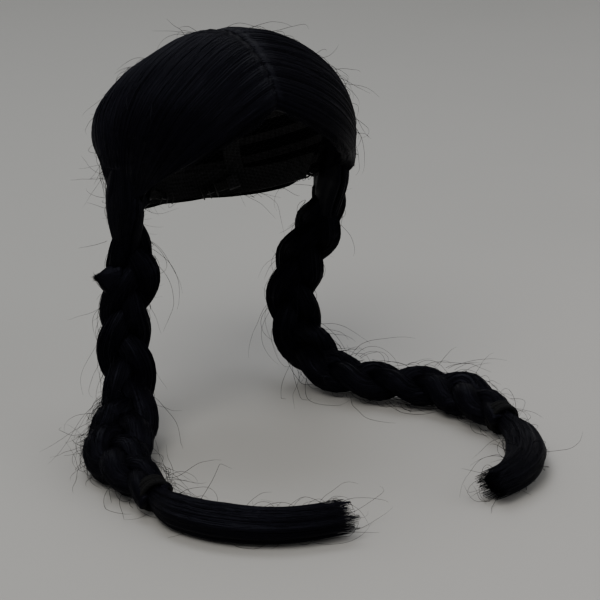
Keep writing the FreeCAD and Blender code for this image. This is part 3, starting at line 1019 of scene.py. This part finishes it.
def lock_hair_lines(side, name, count):
    """Single hairs combed over a lock."""
    low, high = LOCKS[name]
    lines = []
    for _ in range(count):
        start = chance.uniform(low, high)
        wander = chance.uniform(-0.004, 0.004)
        lift = chance.uniform(0.00005, 0.0006)
        seed = chance.uniform(0, 99)
        first = chance.choice([0.0, 0.0, 0.0, chance.uniform(0.1, 0.5)])
        line = []
        for i in range(LOCK_HAIR_STEPS + 1):
            run = first + (0.995 - first) * i / LOCK_HAIR_STEPS
            here = start + wander * math.sin(run * math.pi)
            here += 0.002 * noise.noise(Vector((run * 3.0, seed, 0.0)))
            here = min(1.0, max(0.0, here))
            depth = hair_depth(side, here, run) - lift * (0.3 + 0.7 * math.sin(run * math.pi))
            line.append(combed(side, here, run, depth))
        lines.append(line)
    return lines


lock_masses, lock_hairs = {}, {}
for side in SIDES:
    for name in LOCKS:
        lock_masses[side, name] = lock_mass(side, name, MASS_HAIR)
        lines = lock_hair_lines(side, name, HAIRS_A_LOCK)
        lock_hairs[side, name] = hairs(f"{side}_{name}_hairs", lines, LOCK_HAIR, FINE_HAIR)
print("lock faces:", len(lock_masses["right", "crown"].data.polygons))

# %% [markdown]
# ## The gathers
# At the ear the combed hair is drawn together into a short oval bundle and goes straight into the
# plait. The tables say how wide the bundle is at each distance below its top. The mass is a loft
# between ovals. Its hairs start up on the dome, so that the bundle
# grows out of the locks and doesn't look stuck on. Hairs that start lower than GATHER_STILL would be
# torn off the dome by the swing of the plait, so they start in the gather.

# %% Gathers
GATHER_OUT = [(0.0, 0.0765), (0.010, 0.0778), (0.020, 0.0788), (0.030, 0.0790), (0.060, 0.0786)]
GATHER_HALF_WIDTH = [
    (0.0, 0.0062), (0.010, 0.0068), (0.020, 0.0080), (0.030, 0.0092), (0.040, 0.0096),
    (0.050, 0.0086), (0.060, 0.0060),
]
GATHER_HALF_LENGTH = [
    (0.0, 0.0120), (0.010, 0.0165), (0.020, 0.0200), (0.030, 0.0205), (0.040, 0.0160),
    (0.050, 0.0110), (0.060, 0.0070),
]
GATHER_SHIFT = {"right": Vector((-0.0015, 0.003, 0)), "left": Vector((0.003, -0.007, 0))}
GATHER_FOOT = 0.060
GATHER_STILL = 0.034
GATHER_SIDES = 40
GATHER_HAIRS = 420


def hug(side, place):
    """Bends a place of the gather to the curve of the head, less and less further down."""
    sign = SIDES[side]
    near = ease(1 + place.z / 0.055)
    back = place.y - GATHER_Y[side]
    bent = place.copy()
    bent.x += sign * near * (0.10 * back - back**2 / 0.17)
    return bent + GATHER_SHIFT[side] * near


def gather_place(side, down, across, skin):
    """A place in the gather, this far down, from -1 at its front to 1 at its back."""
    sign = SIDES[side]
    out = between(GATHER_OUT, down)
    width = between(GATHER_HALF_WIDTH, down) * skin
    length = between(GATHER_HALF_LENGTH, down) * skin
    outwards = sign * (out + width * math.sqrt(max(0.0, 1 - across**2)))
    return hug(side, Vector((outwards, GATHER_Y[side] + length * across, -down)))


def gather_groove(angle, i):
    """The tresses of a gather."""
    return 1 + 0.05 * math.sin(6 * angle + 0.05 * i) + 0.03 * math.sin(13 * angle)


def gather_mass(side, material):
    """The bundle between the dome and the plait."""
    sign = SIDES[side]
    shape = bmesh.new()
    stations = []
    for i in range(int(GATHER_FOOT / STEP) + 1):
        down = i * STEP
        centre = Vector((sign * between(GATHER_OUT, down), GATHER_Y[side], -down))
        first = Vector((between(GATHER_HALF_WIDTH, down), 0, 0))
        second = Vector((0, between(GATHER_HALF_LENGTH, down), 0))
        stations.append((centre, first, second))
    loft(shape, stations, GATHER_SIDES, gather_groove)
    for vertex in shape.verts:
        vertex.co = hug(side, vertex.co)
    return add_piece(f"{side}_gather_mass", mesh_from(shape, f"{side}_gather_mass"), material)


def gather_hair_lines(side, count):
    """Hairs that run from the locks over the gather, and half as many that start on it."""
    lines = []
    for _ in range(count):
        start = chance.random()
        skin = chance.uniform(0.97, 1.06)
        seed = chance.uniform(0, 99)
        line = []
        for run in (0.66, 0.74, 0.81, 0.87):
            depth = hair_depth(side, start, run) - 0.0004
            line.append(combed(side, start, run, depth))
        line = [place for place in line if place.z > -GATHER_STILL]
        across = 0.97 * (2 * start - 1)
        top = max(0.010, 0.006 - line[-1].z) if line else GATHER_STILL
        for k in range(7):
            down = top + (GATHER_FOOT - top) * k / 6
            sway = 0.05 * noise.noise(Vector((k * 0.5, seed, 1.0)))
            line.append(gather_place(side, down, min(1, max(-1, across + sway)), skin))
        lines.append(line)
    for _ in range(count // 2):
        across = math.sin(math.pi * chance.uniform(-0.5, 0.5))
        skin = chance.uniform(1.0, 1.06)
        downs = [0.002 + (GATHER_FOOT - 0.002) * k / 9 for k in range(10)]
        lines.append([gather_place(side, down, across, skin) for down in downs])
    return lines


gather_masses, gather_hairs = {}, {}
for side in SIDES:
    gather_masses[side] = gather_mass(side, FINE_HAIR)
    lines = gather_hair_lines(side, GATHER_HAIRS)
    gather_hairs[side] = hairs(f"{side}_gather_hairs", lines, LOCK_HAIR, FINE_HAIR)

# %% [markdown]
# ## Stray hairs
# A wig that has been worn and combed has stray hairs: short ones along the hairline, loose arcs
# over the crown, and long curls round the plaits. They are thin, so they only soften the outline,
# but without them the outline looks cut out. Each leaves the surface at a small angle and curls by
# smooth noise. A loose one that would leave the room the object has is dropped and drawn again.

# %% Stray hairs
ROOM_SHARE = 0.03
ROOM_EXTRA = 0.008
STRAY_HAIR = 0.00013
STRAY_STEPS = 15
FUZZ_STEPS = 7
DOME_STRAYS = 240
HAIRLINE_FUZZ = 260
PLAIT_STRAYS = 420
TAIL_STRAYS = 130
# A plait with a tuft also has a tangle at its bend: how many hairs, along which part of the plait,
# and between which turns round it.
TANGLE_HAIRS = 190
TANGLE_STRETCH = (0.46, 0.72)
TANGLE_TURNS = (-0.8, 0.9)
room = [ROOM_SHARE * (high - low) + ROOM_EXTRA for low, high in zip(*cad_box)]
LOW_ROOM = Vector([edge - more for edge, more in zip(cad_box[0], room)])
HIGH_ROOM = Vector([edge + more for edge, more in zip(cad_box[1], room)])


def stray(root, along, away, length, lift):
    """One hair that leaves the surface and bends a little more at every step, so that it curls."""
    seed = chance.uniform(0, 999)
    bend = away.cross(along).normalized() * chance.uniform(0.2, 1.0)
    bend += along * chance.uniform(-0.5, 0.5)
    twist = Matrix.Rotation(chance.uniform(0.05, 0.24), 3, bend)
    heading = (along + away * (lift / length * 2.4)).normalized()
    line = [root]
    for i in range(STRAY_STEPS):
        shake = noise.noise_vector(Vector((i * 0.35, seed, 0.5))) * 0.22
        heading = (twist @ heading + shake).normalized()
        line.append(line[-1] + heading * (length / STRAY_STEPS))
    return line


def in_room(line):
    """Whether a hair stays in the object's room. What would sink lies on the table later on."""
    return all(
        low < c < high
        for place in line
        for c, low, high in zip((place.x, place.y, max(place.z, TABLE)), LOW_ROOM, HIGH_ROOM)
    )


def dome_strays(side, count):
    """Loose arcs over the crown and the sides of one half of the dome."""
    lines = []
    while len(lines) < count:
        start, run = chance.uniform(0.05, 0.98), chance.uniform(0.0, 0.9)
        root = combed(side, start, run, 0.0012)
        along = (combed(side, start, run + 0.03, 0.0012) - root).normalized()
        away = root.normalized()
        sideways = along.cross(away) * chance.uniform(-0.5, 0.5)
        line = stray(
            root, (along + sideways).normalized(), away,
            chance.uniform(0.012, 0.060), chance.uniform(0.002, 0.015),
        )
        if in_room(line):
            lines.append(line)
    return lines


def hairline_fuzz(side, count):
    """Short hairs that soften the edge round the face."""
    lines = []
    for _ in range(count):
        run = chance.uniform(0.01, 0.93)
        depth = 0.0052 + chance.uniform(-0.001, 0.001)
        root = combed(side, 0.018, run, depth - 0.001)
        along = (combed(side, 0.018, min(1, run + 0.03), depth) - root).normalized()
        off = (combed(side, 0.0, run, depth) - combed(side, 0.03, run, depth)).normalized()
        reach, length = chance.uniform(0.0015, 0.0055), chance.uniform(0.010, 0.024)
        line = []
        for i in range(FUZZ_STEPS + 1):
            share = i / FUZZ_STEPS
            line.append(root + along * (length * share) + off * (reach * math.sin(share * 2.6)))
        lines.append(line)
    return lines


def plait_strays(count, route, spread, stretch=(0.04, 0.97), turns=(0, FULL_TURN)):
    """Curls that leave a plait or a tail, along one stretch and on one side of it."""
    frames = frames_along(route)
    lines = []
    while len(lines) < count:
        i = int(chance.uniform(*stretch) * (len(frames) - 1))
        place, ahead, face, across = frames[i]
        turn = chance.uniform(*turns)
        away = (across * math.cos(turn) + face * math.sin(turn)).normalized()
        root = place + away * (0.8 * spread)
        along = (ahead + away * chance.uniform(-0.3, 0.9)).normalized()
        length = chance.choice([0.008, 0.014, 0.022, 0.045]) * chance.uniform(0.7, 1.3)
        line = stray(root, along, away, length, length * chance.uniform(0.1, 0.6))
        if in_room(line):
            lines.append(line)
    return lines


dome_fuzz, plait_fuzz, tail_fuzz = {}, {}, {}
for side in SIDES:
    lines = dome_strays(side, DOME_STRAYS) + hairline_fuzz(side, HAIRLINE_FUZZ)
    dome_fuzz[side] = hairs(f"{side}_stray_hairs", lines, STRAY_HAIR, FINE_HAIR)
    route = plait_lines[side]
    lines = plait_strays(PLAIT_STRAYS, route, 0.018)
    if side in TUFT_AT:
        lines += plait_strays(TANGLE_HAIRS, route, 0.022, TANGLE_STRETCH, TANGLE_TURNS)
    plait_fuzz[side] = hairs(f"{side}_plait_stray_hairs", lines, STRAY_HAIR, FINE_HAIR)
    lines = plait_strays(TAIL_STRAYS, tail_lines[side], 0.012)
    tail_fuzz[side] = hairs(f"{side}_tail_stray_hairs", lines, STRAY_HAIR, FINE_HAIR)

# %% [markdown]
# ## The net of the cap
# The cap under the hair is an open knitted net. A ball of triangles has its corners cut off, which
# turns every triangle and every corner into a six-sided mesh, as in tulle. What lies in the face
# and neck openings is deleted, the rest is moved to the dome, and each side becomes a thread.

# %% Net
NET_DEPTH = 0.0118
NET_THREAD = 0.00032
CAP_INSET = 0.006
CORNER_CUT = 0.0225


def in_cap(place):
    """Whether a place of the dome is inside the cap's edge."""
    side = "left" if place.x > 0 else "right"
    front = between([(x, z) for x, z in HAIRLINE], abs(place.x))
    line = [(y, z) for y, z in reversed(NAPE_LINE)]
    back = between([(-0.040, -0.028), (0.0, -0.036), *line, (0.13, -0.066)], place.y)
    if place.z < back + CAP_INSET:
        return False
    return place.y > GATHER_Y[side] - 0.002 or place.z > front + CAP_INSET


def net_piece():
    """The net: a ball's faces cut to six-sided meshes, on the dome, with every side a thread."""
    shape = bmesh.new()
    bmesh.ops.create_icosphere(shape, subdivisions=5, radius=1.0)
    bmesh.ops.bevel(
        shape, geom=shape.verts[:], offset=CORNER_CUT, affect="VERTICES", segments=1,
        profile=0.5, material=-1,
    )
    for vertex in shape.verts:
        vertex.co = on_dome(vertex.co.normalized(), NET_DEPTH)
    outside = [face for face in shape.faces if not in_cap(face.calc_center_median())]
    bmesh.ops.delete(shape, geom=outside, context="FACES")
    bmesh.ops.wireframe(
        shape, faces=shape.faces[:], thickness=NET_THREAD, use_replace=True, use_boundary=True,
    )
    return add_piece("cap_net_threads", mesh_from(shape, "cap_net_threads"), NET_MATERIAL)


net = net_piece()
print("net faces:", len(net.data.polygons))

# %% [markdown]
# ## Finishes for the parts that keep their engineering shape
# Bands, straps, wefts and adjusters have the right shape already. They only get a finish.

# %% Finishes
FINISHES = {
    "front_band": TAPE, "nape_band": TAPE, "centre_crown_strap": TAPE, "parting_strip": PARTING,
    "ear_tab": TAPE, "crown_strap": TAPE, "adjuster_strap": STRAP, "adjuster_sleeve": TAPE,
    "adjuster_hook": HOOK, "adjuster_loops": LOOP_THREAD, "weft_row": WEFT_TAPE,
}
finished = []
for name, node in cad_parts.items():
    for ending, finish in FINISHES.items():
        if ending in name:
            node.data.materials.clear()
            node.data.materials.append(finish)
            finished.append(name)
print("finished:", len(finished), "engineering pieces")

# %% [markdown]
# ## What moves with what
# The locks, their hairs, the dome's stray hairs and the net ride on the cap, and each tie rides on
# its plait's end. The gathers, plaits and tails, with their hairs, have their places baked into
# their meshes. The engineering parts that these pieces stand in for are hidden.

# %% Rides
for side in SIDES:
    for piece in (gather_masses[side], gather_hairs[side]):
        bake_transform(piece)
    for piece in (plaits[side], plait_hairs[side], plait_fuzz[side]):
        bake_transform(piece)
    for piece in (tails[side], tail_hairs[side], tail_fuzz[side]):
        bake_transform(piece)
    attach(ties[side], f"{side}_plait_end")
    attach(dome_fuzz[side], "cap")
    for name in LOCKS:
        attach(lock_masses[side, name], "cap")
        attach(lock_hairs[side, name], "cap")
        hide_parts(f"{side}_hair_{name}")
    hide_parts(f"{side}_gather")
    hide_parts(f"{side}_plait_hanging", f"{side}_plait_lying")
    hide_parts(f"{side}_tail")
    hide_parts(f"{side}_hair_tie")
    hair_pieces = [
        gather_masses[side], gather_hairs[side], plaits[side], plait_hairs[side],
        plait_fuzz[side], tails[side], tail_hairs[side], tail_fuzz[side], dome_fuzz[side],
    ]
    hair_pieces += [lock_masses[side, name] for name in LOCKS]
    hair_pieces += [lock_hairs[side, name] for name in LOCKS]
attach(net, "cap")
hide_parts("cap_net")
print("hair pieces a side:", len(hair_pieces))

# %% [markdown]

# %% [markdown]
# ## The table
# The plaits lie on a wide, pale, flat table. Painted light makes its colour lighter towards the front
# and the wearer's left, under a faint random mottle. It is only there for the picture and isn't part
# of the object.

# %% Table
TABLE_HALF_SIZE = 9.0
# The paper's colour where its painted light is weakest, and where it is strongest.
TABLE_PAINTED_SHADE = (0.41, 0.405, 0.375, 1.0)
TABLE_PAINTED_LIGHT = (0.56, 0.53, 0.50, 1.0)


def studio():
    """A wide sheet of pale paper, with painted light towards the front and the wearer's left."""
    shape = bmesh.new()
    bmesh.ops.create_grid(shape, x_segments=2, y_segments=2, size=TABLE_HALF_SIZE)
    bmesh.ops.translate(shape, verts=shape.verts[:], vec=UP * TABLE)
    material, tree, shader, coordinates = new_material("studio_paper_painted_light")
    place = coordinates.outputs["Object"]
    mottle = texture(tree, "ShaderNodeTexNoise", place, Scale=3.0, Detail=4.0)
    split = tree.nodes.new("ShaderNodeSeparateXYZ")
    tree.links.new(place, split.inputs[0])
    # Painted light: the colour grows lighter with x and towards the front, as the lamps' light would
    # fall.
    near = math_node(tree, "SUBTRACT", split.outputs["X"], split.outputs["Y"])
    near = math_node(tree, "MULTIPLY", near, 0.5)
    light = math_node(tree, "ADD", math_node(tree, "MULTIPLY", mottle.outputs[0], 0.3), near)
    light = math_node(tree, "MINIMUM", math_node(tree, "MAXIMUM", light, 0.0), 1.0)
    colour = mix_colours(tree, light, TABLE_PAINTED_SHADE, TABLE_PAINTED_LIGHT)
    tree.links.new(colour, shader.inputs["Base Color"])
    shader.inputs["Roughness"].default_value = 0.7
    return add_piece("studio", mesh_from(shape, "studio"), material)


studio()

# %% [markdown]
# ## The light
# Black hair only shows by its gloss, so the three lights are broad and soft. The key stands high on
# the wearer's right, the fill is weak, and the third lights the crown from behind.

# %% Lights
LIT_PLACE = Vector((0, -0.05, -0.05))
SURROUND = (0.80, 0.80, 0.82, 1.0)
SURROUND_STRENGTH = 0.35


def soft_light(name, place, size, power, colour):
    """A square light that faces the object."""
    data = bpy.data.lights.new(name, "AREA")
    data.size = size
    data.energy = power
    data.color = colour
    lamp = bpy.data.objects.new(name, data)
    lamp.location = place
    lamp.rotation_euler = turned_to(place, LIT_PLACE)
    bpy.context.scene.collection.objects.link(lamp)


soft_light("key", Vector((-1.1, -1.0, 2.0)), 1.4, 30.0, (1.0, 0.98, 0.96))
soft_light("fill", Vector((1.6, -1.2, 1.0)), 1.8, 10.0, (0.95, 0.97, 1.0))
soft_light("crown", Vector((0.1, 0.9, 1.7)), 1.4, 14.0, (0.90, 0.93, 1.0))
world = bpy.data.worlds.new("world")
bpy.context.scene.world = world
world.use_nodes = True
background = world.node_tree.nodes["Background"]
background.inputs["Color"].default_value = SURROUND
background.inputs["Strength"].default_value = SURROUND_STRENGTH
print("lights:", [lamp.name for lamp in bpy.data.lights])
